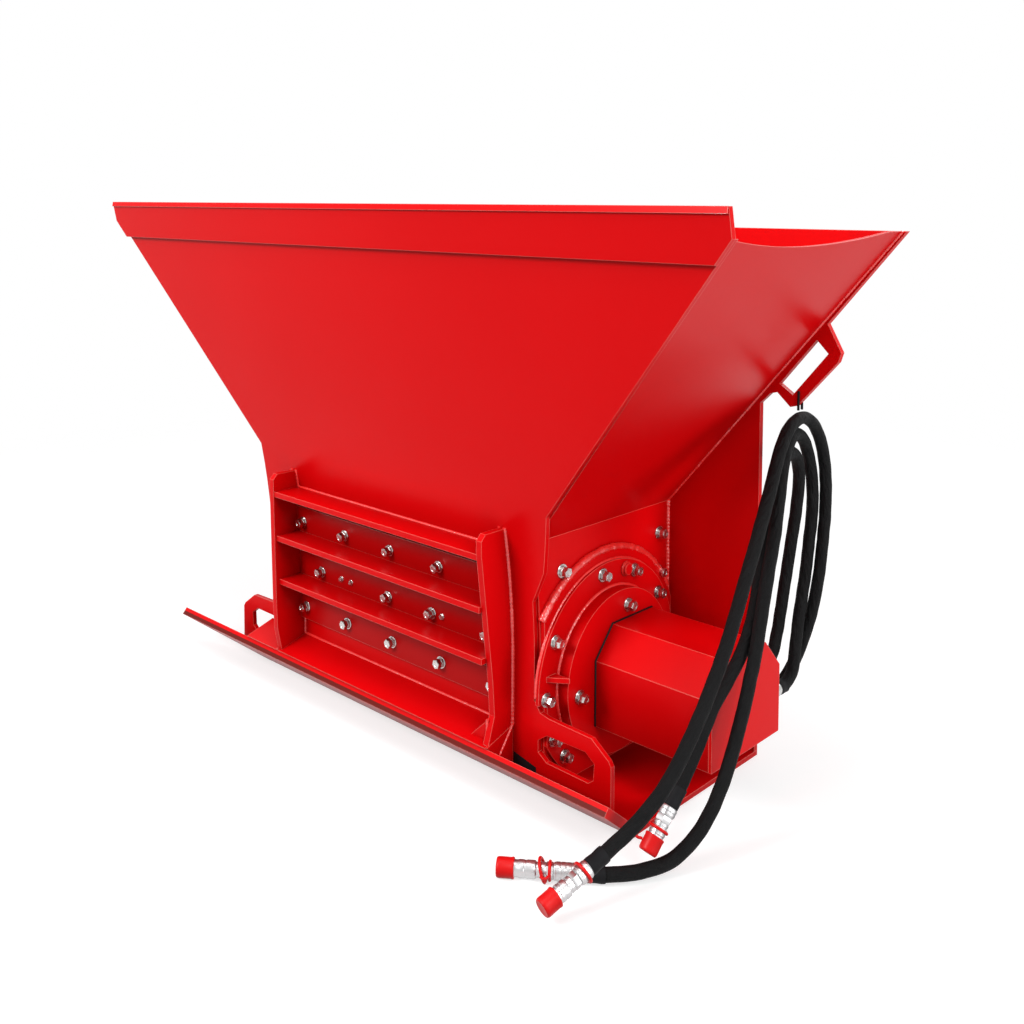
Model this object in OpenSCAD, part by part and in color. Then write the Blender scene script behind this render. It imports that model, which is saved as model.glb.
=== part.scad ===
/* [Hopper] */
// Width of the hopper over the top edges of its side walls
hopper_w = 1824; // [1700:4:1900]
// Height of the rear plate's top edge above the floor
hopper_top_z = 1080; // [1000:10:1150]
// Width of the front plate below the flare
front_waist_w = 908; // [880:4:940]
// Height at which the front plate starts to flare out
front_waist_z = 554; // [520:2:600]
// Forward lean of the front plate's flat upper part in degrees
front_lean = 11.8; // [8:0.2:14]
// Radius of the rolled bend in the front plate
front_bend_r = 1562; // [1300:2:1800]
// Thickness of the hopper's front plate
front_t = 10; // [6:1:14]
// Thickness of the rear plate
rear_t = 12; // [8:1:16]
// Thickness of the sloped side walls
side_t = 8; // [5:1:12]
// Depth of the dip in the side walls' top edges
side_dip = 20; // [10:1:40]
// Radius of the dip in the side walls' top edges
side_dip_r = 1850; // [1200:10:2600]
// Height of the band along the front rim
band_h = 88; // [60:1:110]
// Thickness of the band along the front rim
band_t = 10; // [6:1:14]
// Height of the band's top edge above the floor
band_top_z = 1125; // [1100:1:1170]

/* [Crushing box] */
// Distance over the outer faces of the two end plates
box_w = 808; // [760:4:860]
// Thickness of the end plates
end_t = 16; // [10:1:20]
// Height at which the end plates meet the sloped walls
crease_z = 491; // [470:1:520]
// Depth of the vertical front plate behind the front rim
front_y = 140; // [120:2:160]
// Depth of the rear plate's front face behind the front rim
rear_y = 559; // [540:1:600]
// Width of the rear plate's vertical lower part
rear_lower_w = 1250; // [1200:5:1300]
// Height at which the rear plate's sloped edges start
rear_shoulder_z = 730; // [700:5:780]

/* [Rotor] */
// Depth of the rotor's axis behind the front rim
rotor_y = 340; // [335:1:350]
// Height of the rotor's axis above the floor
rotor_z = 197; // [192:1:205]
// Radius of the rotor's drum
drum_r = 105; // [90:1:115]
// Reach of the teeth beyond the drum
tooth_h = 45; // [30:1:50]
// Diameter of the rotor's shaft
shaft_d = 80; // [60:1:100]
// Number of rings of teeth along the drum
tooth_rings = 8; // [5:1:10]
// Number of teeth in each ring
teeth_per_ring = 3; // [2:1:4]

/* [Rib frame] */
// Distance between the inner faces of the two ribs
rib_gap = 654; // [600:2:680]
// Thickness of the ribs
rib_t = 14; // [8:1:20]
// Depth of the ribs' front edges at their top, behind the front rim
rib_top_y = 50; // [40:1:70]
// Depth of the ribs' front edges at their foot, behind the front rim
rib_foot_y = 90; // [80:1:100]
// Height of the ribs' tops above the floor
rib_top_z = 508; // [490:2:540]
// Heights of the three shelves' top faces above the floor
shelf_top_z = 469; // [440:1:485]
// Height of the middle shelf's top face
shelf_mid_z = 366; // [340:1:390]
// Height of the lower shelf's top face
shelf_low_z = 264; // [240:1:290]
// Thickness of the shelves
shelf_t = 12; // [8:1:16]
// Height of the bolted bars
bar_h = 60; // [40:1:72]
// Thickness of the bolted bars
bar_t = 12; // [6:1:20]

/* [Base] */
// Thickness of the base plate
base_t = 10; // [6:1:16]
// Depth of the base plate's front bend behind the front rim
base_front_y = 166; // [150:2:190]
// Height of the sloped sill's front edge above the floor
sill_z = 92; // [88:1:100]
// Height at which the sill meets the front plate
sill_back_z = 118; // [110:1:130]
// Thickness of the sill
sill_t = 10; // [6:1:14]
// Angle of the bent-up front lip above the floor in degrees
lip_angle = 39.5; // [37:0.5:42]
// Length of the bent-up front lip
lip_len = 132; // [128:1:136]
// Thickness of the bent-up front lip
lip_t = 18; // [14:1:22]

/* [Drive] */
// Outer radius of the ring on the drive side
ring_r = 235; // [225:1:245]
// Thickness of the ring on the drive side
ring_t = 10; // [6:1:14]
// Outer radius of the gearbox flange
gear_flange_r = 215; // [208:1:222]
// Thickness of the gearbox flange
gear_flange_t = 8; // [6:1:14]
// Radius of the bolt circle on the gearbox flange
gear_bolt_r = 195; // [190:1:199]
// Outer radius of the gear housing
housing_r = 163; // [155:1:170]
// Length of the gear housing along the rotor's axis
housing_t = 28; // [20:1:40]
// Radius of the bolt circle on the gear housing
motor_bolt_r = 130; // [124:1:140]
// Depth of the guard's front face in front of the rotor's axis
guard_front = 82; // [76:1:90]
// Depth of the motor guard from front to back
guard_d = 233; // [200:1:260]
// Length of the motor guard along the rotor's axis
guard_len = 262; // [256:1:268]
// Height of the guard's lower edge above the floor
guard_low_z = 110; // [90:1:130]
// Height of the guard's top above the floor
guard_top_z = 300; // [270:1:330]
// Thickness of the guard's sheet
guard_t = 5; // [3:1:8]

/* [Coupler plate] */
// Width of the coupler plate's hook on the rear
hook_w = 1130; // [1100:5:1150]
// Height of the hook's top edge above the floor
hook_z = 520; // [480:5:560]
// Depth of the hook behind the rear plate
hook_d = 50; // [35:1:70]
// Height of the coupler plate from its foot to its hook
coupler_h = 440; // [420:5:480]

/* [Hoses] */
// Outer diameter of each sleeved hose
hose_d = 25; // [20:1:30]

/* [Hidden] */
red = [0.82, 0.06, 0.05];
steel = [0.72, 0.73, 0.75];
bend_low_z = front_waist_z - front_bend_r * sin(front_lean);
band_face_r = front_bend_r - band_t;
band_rise = (band_top_z - bend_low_z - band_face_r * sin(front_lean)) / cos(front_lean);
front_edge_y = front_y - front_bend_r + band_face_r * cos(front_lean)
    - band_rise * sin(front_lean);
back_edge_y = rear_y + rear_t + hook_d;
mid_y = (front_edge_y + back_edge_y) / 2;
end_x = box_w / 2;
rear_margin = 8;
side_dip_y = 235;
corner_drop = 3;
corner_z = hopper_top_z - corner_drop;
wall_run = (hopper_w / 2 - end_x) / (hopper_top_z - crease_z);
wall_across = side_t * sqrt(1 + wall_run * wall_run);
rib_x = rib_gap / 2;
bar_low_z = 160;
bar_levels = [shelf_mid_z, shelf_low_z, bar_low_z];
sill_left = 461;
sill_right = 340;
sill_front_y = 60;
lip_left_low = 455;
lip_left_top = 739;
lip_flare = 9;
big = 2400;

// Shifts a piece from the front rim's datum to the part's own origin
module centred() { translate([0, -mid_y, 0]) children(); }

// Extrudes an outline drawn in depth and height along X
module along_x(x0, x1) {
    translate([x0, 0, 0]) rotate([90, 0, 90]) linear_extrude(x1 - x0) children();
}

// Extrudes an outline drawn in width and height along Y
module along_y(y0, y1) {
    translate([0, y1, 0]) rotate([90, 0, 0]) linear_extrude(y1 - y0) children();
}

// Everything in front of the front plate's back face, grown by a clearance
module front_space(grow) {
    r = front_bend_r + front_t + grow;
    translate([0, front_y - front_bend_r, bend_low_z]) {
        rotate([0, 90, 0]) cylinder(r = r, h = big, center = true, $fn = 180);
        rotate([front_lean, 0, 0]) translate([-big / 2, 0, 0]) cube([big, r, big / 2]);
        translate([-big / 2, 0, -big / 4]) cube([big, r, big / 4]);
    }
}

// A bent sheet that follows the front plate, its front face set forward by a distance
module front_sheet(forward, thick) {
    difference() {
        front_space(thick - front_t - forward);
        front_space(-front_t - forward);
    }
}

notch_x = end_x - 6;
notch_low_z = 376;
notch_top_z = 439;
notch_step = 23;
plate_low_z = 20;
grip_w = 186;
grip_top_z = 182;

// Outline of one bottom loop handle, to the right of the centre line
module low_handle_outline() {
    translate([notch_x, 0]) difference() {
        polygon([[-60, plate_low_z], [grip_w, plate_low_z], [grip_w, 118], [grip_w - 6, 127],
            [grip_w - 46, 156], [36, 159], [15, 163], [1, grip_top_z], [-60, grip_top_z]]);
        polygon([[10, 86], [31, 72], [133, 70], [145, 79], [147, 111], [126, 126], [33, 125],
            [10, 109]]);
    }
}

module front_outline() {
    waist_x = front_waist_w / 2;
    polygon([[-hopper_w / 2, corner_z], [-waist_x, front_waist_z], [-waist_x, plate_low_z],
        [notch_x, plate_low_z], [notch_x, notch_low_z], [waist_x - notch_step, notch_top_z],
        [waist_x, front_waist_z], [hopper_w / 2, corner_z]]);
    low_handle_outline();
    mirror([1, 0]) difference() {
        low_handle_outline();
        square([waist_x - 1, grip_top_z + 10]);
    }
}

module front_plate() {
    color(red) centred() difference() {
        intersection() {
            front_sheet(0, front_t);
            along_y(-80, front_y + 60) front_outline();
        }
        lip_space();
    }
}

// The slanted space under the bent-up lip's upper face
module lip_space() {
    translate([-big / 2, base_front_y, 0]) rotate([180 - lip_angle, 0, 0])
        translate([0, 0, -base_t]) cube([big, 400, 400]);
}

module front_band() {
    low = band_top_z - band_h;
    band_x = hopper_w / 2 + 2;
    band_low_x = band_x - (corner_z - low) * 0.875;
    color(red) centred() intersection() {
        front_sheet(band_t, band_t);
        along_y(-80, front_y + 60)
            polygon([[-band_x, band_top_z], [-band_x, corner_z], [-band_low_x, low],
                [band_low_x, low], [band_x, corner_z], [band_x, band_top_z]]);
    }
}

// A point along the rear plate's sloped edge from its shoulder, and out from that edge
function on_slope(along, out) = let(
    low = [rear_lower_w / 2, rear_shoulder_z],
    edge = unit([hopper_w / 2 + rear_margin, hopper_top_z] - low))
    low + along * edge + out * [edge[1], -edge[0]];

module rear_half_outline() {
    difference() {
        polygon([[0, base_t], [rear_lower_w / 2, base_t], [rear_lower_w / 2, rear_shoulder_z],
            on_slope(31, 3), on_slope(44, 12), on_slope(43, 51), on_slope(56, 60),
            on_slope(182, 64), on_slope(200, 57), on_slope(222, 0),
            [hopper_w / 2 + rear_margin, hopper_top_z], [0, hopper_top_z]]);
        polygon([on_slope(61, 4.5), on_slope(183, 4.5), on_slope(180, 39), on_slope(65, 39)]);
    }
}

module rear_plate() {
    color(red) centred() along_y(rear_y, rear_y + rear_t) {
        rear_half_outline();
        mirror([1, 0]) rear_half_outline();
    }
}

module side_wall(side) {
    top = hopper_top_z;
    x1 = end_x + (top - crease_z) * wall_run;
    color(red) centred() difference() {
        along_y(-60, rear_y)
            polygon([[side * end_x, crease_z], [side * x1, top], [side * (x1 - wall_across), top],
                [side * (end_x - wall_across), crease_z]]);
        front_space(0);
        translate([0, side_dip_y, top - side_dip + side_dip_r])
            rotate([0, 90, 0]) cylinder(r = side_dip_r, h = big, center = true, $fn = 180);
    }
}
module side_wall_left() { side_wall(-1); }
module side_wall_right() { side_wall(1); }

module end_plate(side) {
    x0 = side > 0 ? end_x - end_t : -end_x;
    color(red) centred() difference() {
        translate([x0, front_y, base_t]) cube([end_t, rear_y - front_y, crease_z - base_t]);
        front_space(0);
        translate([x0 - 1, rotor_y, rotor_z]) rotate([0, 90, 0])
            cylinder(d = shaft_d + 20, h = end_t + 2, $fn = 64);
        lip_space();
    }
}
module end_plate_left() { end_plate(-1); }
module end_plate_right() { end_plate(1); }

// Height of the sill's top face at a depth behind the front rim
function sill_top(y) = sill_z
    + (y - sill_front_y) * (sill_back_z - sill_z) / (front_y - sill_front_y);

// Outline of a rib from its top to below the sill, with its front edge at two heights
module rib_outline(low_y, mid_y, foot_y) {
    polygon([[rib_top_y + 14, rib_top_z], [rib_top_y + 3, rib_top_z - 12],
        [rib_top_y + 3, rib_top_z - 38], [mid_y, 220], [low_y, 150], [foot_y, sill_top(foot_y)],
        [foot_y, 60], [170, 60], [170, rib_top_z]]);
}

module rib(side) {
    x0 = side > 0 ? rib_x : -rib_x - rib_t;
    color(red) centred() intersection() {
        along_x(x0, x0 + rib_t) {
            if (side > 0) rib_outline(rib_foot_y, rib_foot_y - 5, 73);
            else rib_outline(rib_top_y + 12, rib_top_y + 9, 73);
        }
        front_space(-front_t);
        along_x(-big / 2, big / 2)
            polygon([[0, sill_top(0)], [200, sill_top(200)], [200, big], [0, big]]);
    }
}
module rib_left() { rib(-1); }
module rib_right() { rib(1); }

module shelf(top_z, y0) {
    color(red) centred() difference() {
        translate([-rib_x, y0, top_z - shelf_t]) cube([rib_gap, 90, shelf_t]);
        front_back_space();
    }
}
// Everything behind the front plate's front face
module front_back_space() {
    difference() {
        translate([-big / 2, -100, 0]) cube([big, 600, 700]);
        front_space(-front_t);
    }
}
module shelf_top() { shelf(shelf_top_z, 55); }
module shelf_middle() { shelf(shelf_mid_z, 61); }
module shelf_lower() { shelf(shelf_low_z, 68); }

module clamp_bars() {
    color(red) centred() for (z = bar_levels) intersection() {
        front_sheet(bar_t, bar_t);
        translate([-rib_x, 0, z]) cube([rib_gap, 200, bar_h]);
    }
}

module anvil_bars() {
    color([0.35, 0.34, 0.33]) centred()
        for (z = bar_levels) intersection() {
            front_sheet(-front_t, 24);
            translate([-rib_x, 0, z - 5]) cube([rib_gap, 260, bar_h + 10]);
        }
}

module sill_plate() {
    color(red) centred() difference() {
        along_x(-sill_left, sill_right)
            polygon([[sill_front_y, sill_z - sill_t], [front_y, sill_back_z - sill_t],
                [front_y, sill_back_z], [sill_front_y, sill_z]]);
        lip_space();
    }
}

module base_plate() {
    color(red) centred() difference() {
        translate([-rear_lower_w / 2, base_front_y, 0])
            cube([rear_lower_w, rear_y + rear_t - base_front_y, base_t]);
        translate([-end_x + end_t, base_front_y + 30, -1])
            cube([box_w - 2 * end_t, rear_y - base_front_y - 60, base_t + 2]);
    }
}

module base_lip() {
    color(red) centred() difference() {
        translate([0, base_front_y, 0]) rotate([180 - lip_angle, 0, 0])
            translate([0, 0, -base_t]) linear_extrude(lip_t)
                polygon([[-lip_left_low, -20], [rear_lower_w / 2, -20],
                    [rear_lower_w / 2 + lip_flare, lip_len], [-lip_left_top, lip_len]]);
        translate([-big / 2, base_front_y, -100]) cube([big, 200, 200]);
        translate([-big / 2, 0, -100]) cube([big, big / 2, 100]);
    }
}

module drive_disc(x, r, t, bore) {
    translate([x, rotor_y, rotor_z]) rotate([0, 90, 0]) difference() {
        cylinder(r = r, h = t, $fn = 120);
        translate([0, 0, -1]) cylinder(r = bore, h = t + 2, $fn = 120);
    }
}

// The space the front plate's handle, the base and the rear plate take from the drive's discs
module drive_clip(x, t) {
    translate([x - 1, 0, -ring_r]) cube([t + 2, big, ring_r + base_t]);
    translate([x - 1, 0, 0]) cube([t + 2, front_y + front_t, grip_top_z + 1]);
    translate([x - 1, rear_y, 0]) cube([t + 2, big, big]);
}

flange_x = end_x + ring_t;
housing_x = flange_x + gear_flange_t;
guard_x = housing_x + housing_t;
guard_y = rotor_y - guard_front;
motor_r = 58;
motor_len = 180;
shaft_gap = 1;
block_x = guard_x + motor_len;
block_len = 76;
block_low_z = 122;
block_h = 100;
block_back_y = 484;

module drive_ring() {
    color(red) centred() difference() {
        drive_disc(end_x, ring_r, ring_t, shaft_d / 2 + shaft_gap);
        drive_clip(end_x, ring_t);
        translate([end_x - 1, 0, 0]) cube([ring_t + 2, front_y + front_t, big]);
    }
}

module gearbox_flange() {
    color(red) centred() {
        difference() {
            drive_disc(flange_x, gear_flange_r, gear_flange_t, shaft_d / 2 + shaft_gap);
            drive_clip(flange_x, gear_flange_t);
        }
        translate([housing_x, rotor_y - housing_r, rotor_z + 26]) linear_extrude(10)
            polygon([[0, -30], [0, -4], [36, -4]]);
    }
}

module gear_housing() {
    color(red) centred() drive_disc(housing_x, housing_r, housing_t, motor_r + shaft_gap);
}

module guard_outline(inset) {
    polygon([[guard_y + inset, guard_low_z], [guard_y + inset, guard_top_z - 60 - inset * 0.4],
        [guard_y + 52 + inset * 0.4, guard_top_z - inset],
        [guard_y + guard_d - 53 - inset * 0.4, guard_top_z - inset],
        [guard_y + guard_d - inset, guard_top_z - 58 - inset * 0.4],
        [guard_y + guard_d - inset, guard_low_z]]);
}

module motor_guard() {
    color(red) centred() difference() {
        along_x(guard_x, guard_x + guard_len) guard_outline(0);
        along_x(guard_x - 1, guard_x + guard_len + 1) guard_outline(guard_t);
        translate([guard_x - 1, guard_y + guard_t, guard_low_z - 1])
            cube([guard_len + 2, guard_d - 2 * guard_t, 10]);
        translate([block_x - 6, guard_y + guard_d - guard_t - 1, block_low_z - 4])
            cube([block_len + 12, guard_t + 2, block_h + 8]);
    }
}

module guard_end() {
    color(red) centred() along_x(guard_x + guard_len, guard_x + guard_len + 6) guard_outline(0);
}

module hydraulic_motor() {
    color([0.2, 0.2, 0.2]) centred() {
        translate([housing_x, rotor_y, rotor_z]) rotate([0, 90, 0])
            cylinder(r = motor_r, h = block_x - housing_x, $fn = 64);
        translate([block_x, rotor_y - 50, block_low_z])
            cube([block_len, block_back_y - rotor_y + 50, block_h]);
    }
}

module rotor_drum() {
    color([0.3, 0.3, 0.32]) centred() translate([-end_x + end_t + 4, rotor_y, rotor_z])
        rotate([0, 90, 0]) difference() {
            cylinder(r = drum_r, h = box_w - 2 * end_t - 8, $fn = 96);
            translate([0, 0, -1]) cylinder(d = shaft_d, h = box_w, $fn = 64);
        }
}
module rotor_shaft() {
    color(steel) centred() translate([-end_x - 60, rotor_y, rotor_z]) rotate([0, 90, 0])
        cylinder(d = shaft_d, h = box_w + 60 + ring_t + gear_flange_t, $fn = 64);
}
module rotor_teeth() {
    step = (box_w - 2 * end_t - 60) / tooth_rings;
    color([0.45, 0.44, 0.42]) centred() translate([0, rotor_y, rotor_z])
        for (i = [0 : tooth_rings - 1], j = [0 : teeth_per_ring - 1])
            translate([(i - (tooth_rings - 1) / 2) * step, 0, 0])
                rotate([j * 360 / teeth_per_ring + i * 45, 0, 0]) difference() {
                    translate([-18, -22, drum_r - 12]) cube([36, 44, tooth_h + 12]);
                    rotate([0, 90, 0]) cylinder(r = drum_r, h = 60, center = true, $fn = 96);
                    translate([-40, 0, drum_r + tooth_h]) rotate([-40, 0, 0])
                        cube([80, 60, 40]);
                }
}
module bearing_left() {
    color(red) centred() difference() {
        union() {
            translate([-end_x - 20, rotor_y, rotor_z]) rotate([0, 90, 0]) cylinder(r = 120, h = 20, $fn = 96);
            translate([-end_x - 60, rotor_y, rotor_z]) rotate([0, 90, 0]) cylinder(r = 75, h = 42, $fn = 96);
        }
        translate([-end_x - 61, rotor_y, rotor_z]) rotate([0, 90, 0]) cylinder(d = shaft_d, h = 62, $fn = 64);
    }
}

module coupler_hook() {
    y = rear_y + rear_t;
    color(red) centred() along_x(-hook_w / 2, hook_w / 2)
        polygon([[y, hook_z], [y + hook_d, hook_z - 35], [y + hook_d, hook_z - 50],
            [y + hook_d - 6, hook_z - 50], [y, hook_z - 16]]);
}
module coupler_posts() {
    y = rear_y + rear_t;
    color(red) centred() for (side = [-1, 1])
        along_x(side * (hook_w / 2 - 6) - 6, side * (hook_w / 2 - 6) + 6)
            polygon([[y, hook_z - coupler_h], [y + hook_d, hook_z - coupler_h],
                [y + hook_d, hook_z - 50], [y + hook_d - 6, hook_z - 50], [y, hook_z - 16]]);
}
module coupler_foot() {
    y = rear_y + rear_t;
    color(red) centred() difference() {
        translate([-hook_w / 2 + 12, y, hook_z - coupler_h]) cube([hook_w - 24, hook_d, 12]);
        for (side = [-1, 1]) translate([side * 420, y + 26, hook_z - coupler_h - 1]) {
            translate([-23, -12, 0]) cube([46, 24, 14]);
            for (end = [-23, 23]) translate([end, 0, 0]) cylinder(d = 24, h = 14, $fn = 32);
        }
    }
}

module bolt_x(len) {
    rotate([0, 90, 0]) {
        cylinder(d = 26, h = 3, $fn = 32);
        cylinder(d = 22, h = len, $fn = 6);
    }
}
row_pitch = 152.4;
row_top_z = shelf_mid_z + 26;
row_mid_z = shelf_low_z + 22;
row_low_z = bar_low_z + 30;
row_mid_x = [-244, -13, 125, 288];

// Leans a piece drawn along +Z out of the front plate at a height, set forward by a distance
module on_plate(x, z, forward) {
    lean = z > bend_low_z ? asin((z - bend_low_z) / front_bend_r) : 0;
    y = front_y - front_bend_r + front_bend_r * cos(lean);
    translate([x, y, z]) rotate([90 + lean, 0, 0]) translate([0, 0, forward]) children();
}
module plate_bolt(x, z) {
    on_plate(x, z, bar_t + 0.1) {
        cylinder(d = 30, h = 3, $fn = 32);
        cylinder(d = 20, h = 14, $fn = 6);
    }
}
module bolts_front() {
    color(steel) centred() {
        for (z = [row_top_z, row_low_z], i = [-2 : 2]) plate_bolt(i * row_pitch, z);
        for (x = row_mid_x) plate_bolt(x, row_mid_z);
    }
}

// Angles of the drive's bolts from straight up towards the back
flange_angles = [-134, -118, -92, -60, -8, 23, 55, 85, 115, 134];
motor_angles = [9, -96];
module drive_bolt(angle, r, x) {
    translate([x, rotor_y, rotor_z]) rotate([-angle, 0, 0]) translate([0, 0, r]) bolt_x(14);
}
module bolts_drive() {
    color(steel) centred() {
        for (a = flange_angles) drive_bolt(a, gear_bolt_r, housing_x);
        for (a = motor_angles) drive_bolt(a, motor_bolt_r, guard_x);
    }
}

// Each hose's route from its port to its coupler, from the front rim's datum
pressure_route = [[655, 530, 140], [655, 568, 140], [661, 602, 154], [673, 631, 195],
    [687, 650, 255], [698, 660, 315], [706, 665, 380], [711, 667, 445], [715, 667, 510],
    [717, 662, 570], [717, 649, 630], [717, 620, 680], [718, 580, 708], [721, 535, 712],
    [727, 490, 698], [734, 448, 665], [742, 408, 615], [750, 365, 560], [756, 322, 502],
    [760, 280, 442], [763, 240, 382], [764, 198, 325], [764, 155, 273], [760, 112, 220],
    [748, 75, 168], [730, 40, 127], [713, 10, 98], [700, -20, 78], [692, -54, 64]];
return_route = [[690, 530, 172], [690, 562, 172], [688, 594, 188], [684, 612, 228],
    [681, 629, 285], [683, 642, 345], [686, 649, 400], [690, 650, 450], [696, 648, 510],
    [698, 641, 570], [700, 621, 625], [705, 588, 664], [713, 546, 682], [723, 502, 674],
    [734, 462, 640], [745, 430, 585], [753, 403, 525], [755, 380, 460], [758, 355, 392],
    [761, 330, 325], [763, 300, 258], [764, 268, 195], [764, 232, 135], [760, 195, 85],
    [750, 155, 45], [733, 110, 20], [708, 58, 15], [682, 20, 16], [662, 2, 16], [646, -10, 16]];
drain_route = [[652, 530, 205], [652, 557, 205], [650, 584, 222], [649, 601, 258],
    [652, 610, 310], [660, 615, 385], [668, 618, 450], [678, 616, 515], [688, 606, 575],
    [698, 580, 620], [707, 543, 644], [713, 502, 643], [718, 466, 612], [723, 438, 560],
    [726, 414, 500], [729, 392, 435], [734, 362, 370], [735, 325, 318], [735, 280, 280],
    [734, 238, 248], [730, 210, 206], [725, 187, 167], [720, 163, 131], [716, 135, 99]];

function unit(v) = v / norm(v);
function heading(path, i) = unit(path[min(i + 1, len(path) - 1)] - path[max(i - 1, 0)]);
function side_of(path, i) = unit(cross(heading(path, i), [1, 0.35, 0]));
function ring_points(path, i, r, n) = let(u = side_of(path, i), v = cross(heading(path, i), u))
    [for (k = [0 : n - 1]) path[i] + r * (cos(k * 360 / n) * u + sin(k * 360 / n) * v)];

// A round tube swept along a route, with flat ends
module tube(path, d, n) {
    last = len(path) - 1;
    points = [for (i = [0 : last]) each ring_points(path, i, d / 2, n)];
    faces = concat([[for (k = [0 : n - 1]) k]],
        [for (i = [0 : last - 1], k = [0 : n - 1]) let(a = i * n + k, b = i * n + (k + 1) % n)
            [a, a + n, b + n, b]],
        [[for (k = [n - 1 : -1 : 0]) last * n + k]]);
    polyhedron(points, faces);
}

// Lays a piece drawn along +Z at the end of a hose's route, in line with its last stretch
module at_end(path) {
    last = len(path) - 1;
    h = unit(path[last] - path[last - 1]);
    translate(path[last]) rotate([0, acos(h[2]), atan2(h[1], h[0])]) children();
}

// A crimped end, a hexagon and a quick coupler, one behind the other
module hose_coupler(crimp, body) {
    color(steel) {
        cylinder(d = 30, h = crimp, $fn = 32);
        translate([0, 0, crimp]) cylinder(d = 28, h = 12, $fn = 6);
        translate([0, 0, crimp + 12]) cylinder(d = 29, h = body, $fn = 32);
    }
}
module hose_cap(start) {
    color([0.8, 0.08, 0.08]) translate([0, 0, start]) cylinder(d = cap_d, h = cap_len, $fn = 32);
}
cap_d = 34;
cap_len = 30;
sleeve = [0.05, 0.05, 0.05];
module pressure_hose() { color(sleeve) centred() tube(pressure_route, hose_d, 10); }
module return_hose() { color(sleeve) centred() tube(return_route, hose_d, 10); }
module drain_hose() { color(sleeve) centred() tube(drain_route, hose_d, 10); }
module pressure_coupler() { centred() at_end(pressure_route) hose_coupler(24, 32); }
module return_coupler() { centred() at_end(return_route) hose_coupler(50, 54); }
module drain_coupler() { centred() at_end(drain_route) hose_coupler(16, 24); }
module pressure_cap() { centred() at_end(pressure_route) hose_cap(68); }
module return_cap() { centred() at_end(return_route) hose_cap(116); }
module drain_cap() { centred() at_end(drain_route) hose_cap(52); }
module hose_tie() {
    color([0.06, 0.06, 0.06]) centred() along_x(707, 713) difference() {
        translate([rear_y - 2, 726]) square([rear_t + 4, 51]);
        translate([rear_y, 725]) square([rear_t, 50]);
    }
}
module motor_ports() {
    color(steel) centred() for (path = [pressure_route, return_route, drain_route])
        translate([path[0][0], block_back_y, path[0][2]]) rotate([-90, 0, 0]) {
            cylinder(d = 32, h = 22, $fn = 6);
            translate([0, 0, 22]) cylinder(d = 29, h = path[0][1] - block_back_y - 22, $fn = 32);
        }
}

front_plate();
front_band();
rear_plate();
side_wall_left();
side_wall_right();
end_plate_left();
end_plate_right();
rib_left();
rib_right();
shelf_top();
shelf_middle();
shelf_lower();
clamp_bars();
anvil_bars();
sill_plate();
base_plate();
base_lip();
drive_ring();
gearbox_flange();
gear_housing();
motor_guard();
guard_end();
hydraulic_motor();
rotor_drum();
rotor_shaft();
rotor_teeth();
bearing_left();
coupler_hook();
coupler_posts();
coupler_foot();
bolts_front();
bolts_drive();
motor_ports();
pressure_hose();
return_hose();
drain_hose();
pressure_coupler();
return_coupler();
drain_coupler();
pressure_cap();
return_cap();
drain_cap();
hose_tie();
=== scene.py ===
"""Dresses the block crusher: paint, weld beads, bolts, sleeved hoses, camera and light."""

import logging
import math
import random
from collections.abc import Callable, Sequence
from dataclasses import dataclass, field
from enum import Enum

import bpy
from mathutils import Matrix, Vector


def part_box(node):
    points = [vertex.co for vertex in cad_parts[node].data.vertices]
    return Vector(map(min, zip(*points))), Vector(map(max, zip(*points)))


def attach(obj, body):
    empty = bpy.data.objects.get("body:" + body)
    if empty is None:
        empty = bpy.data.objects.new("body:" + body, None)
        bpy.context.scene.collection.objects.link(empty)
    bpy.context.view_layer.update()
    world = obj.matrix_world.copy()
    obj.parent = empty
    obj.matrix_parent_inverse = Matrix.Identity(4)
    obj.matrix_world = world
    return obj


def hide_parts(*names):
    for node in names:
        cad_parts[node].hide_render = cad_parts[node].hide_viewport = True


logging.basicConfig(level=logging.INFO, format="%(message)s")
log = logging.getLogger("block_crusher")

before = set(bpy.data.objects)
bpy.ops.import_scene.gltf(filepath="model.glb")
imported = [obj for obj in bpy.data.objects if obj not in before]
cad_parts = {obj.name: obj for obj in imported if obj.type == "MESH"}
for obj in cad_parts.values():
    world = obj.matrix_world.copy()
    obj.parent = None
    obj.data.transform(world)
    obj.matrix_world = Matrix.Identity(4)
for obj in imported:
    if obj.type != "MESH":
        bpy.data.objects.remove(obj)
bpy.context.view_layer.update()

REAR_Y = 0.559
MID_Y = REAR_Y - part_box("rear_plate")[0].y
BOX_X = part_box("end_plate_right")[1].x
RIM_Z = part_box("rear_plate")[1].z
CREASE_Z = 0.491
FRONT_Y = 0.140
LIP_FOOT_Y = 0.166
# The front lip's sloped end face looks along LIP_OUT, and LIP_UP runs up it.
LIP_OUT = (0.0, -0.7716, 0.636)
LIP_UP = (0.0, 0.636, 0.7716)
BEND_R = 1.562
WAIST_Z = 0.554
LEAN = math.radians(11.8)
BEND_LOW_Z = WAIST_Z - BEND_R * math.sin(LEAN)
AXIS_Y = 0.340
AXIS_Z = 0.197
RIB_X = 0.327
RIB_T = 0.014
HOPPER_X = 0.912
Point = tuple[float, float, float]
Outline = tuple[tuple[float, float], ...]


def place(x: float, depth: float, z: float) -> Vector:
    """A point in the row frame from its depth behind the hopper's front rim."""
    return Vector((x, depth - MID_Y, z))


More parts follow.
